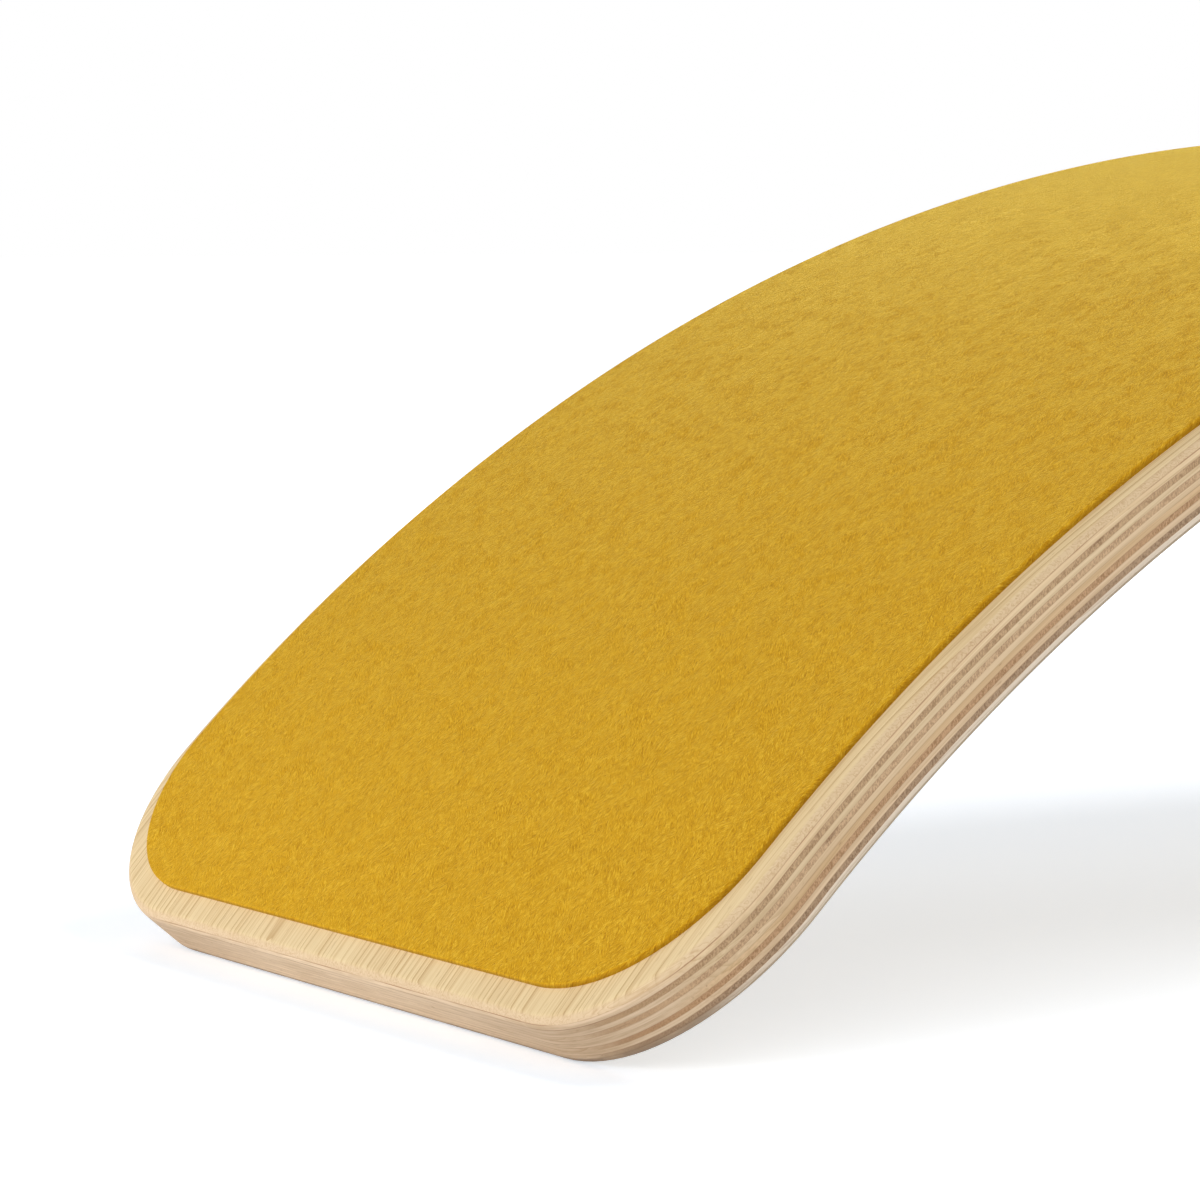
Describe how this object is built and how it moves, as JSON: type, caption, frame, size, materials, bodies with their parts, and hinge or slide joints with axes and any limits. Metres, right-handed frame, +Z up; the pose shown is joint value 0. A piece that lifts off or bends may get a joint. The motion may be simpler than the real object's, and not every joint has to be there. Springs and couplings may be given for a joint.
{
  "type": "balance board",
  "caption": "Bent plywood balance board standing as an arch, with rounded corners and edges and a wool felt sheet glued on its upper face.",
  "frame": {"origin": "on the floor under the middle of the board, centre of the bottom of the box", "axes": "+X along the board, +Y across it, +Z up with the board standing as an arch"},
  "size_m": [0.9126, 0.3, 0.2248],
  "materials": {
    "face_ply": "oiled light hardwood, grain along the board",
    "long_ply": "sanded edge of a lengthwise ply",
    "long_ply_tan": "sanded edge of a darker lengthwise ply",
    "cross_ply": "sanded end grain of a crosswise ply",
    "cross_ply_red": "sanded reddish end grain of a crosswise ply",
    "cross_ply_dark": "sanded grey-brown end grain of a crosswise ply",
    "wool_felt": "pressed mustard wool felt with a short nap"
  },
  "bodies": {
    "root": {"ply_01_face": "face_ply", "ply_02_long": "long_ply", "ply_03_cross": "cross_ply", "ply_04_long": "long_ply", "ply_05_cross": "cross_ply", "ply_06_long": "long_ply", "ply_07_long": "long_ply_tan", "ply_08_cross": "cross_ply_red", "ply_09_long": "long_ply", "ply_10_cross": "cross_ply_dark", "ply_11_long": "long_ply", "ply_12_face": "face_ply", "felt_cover": "wool_felt"}
  },
  "joints": []
}
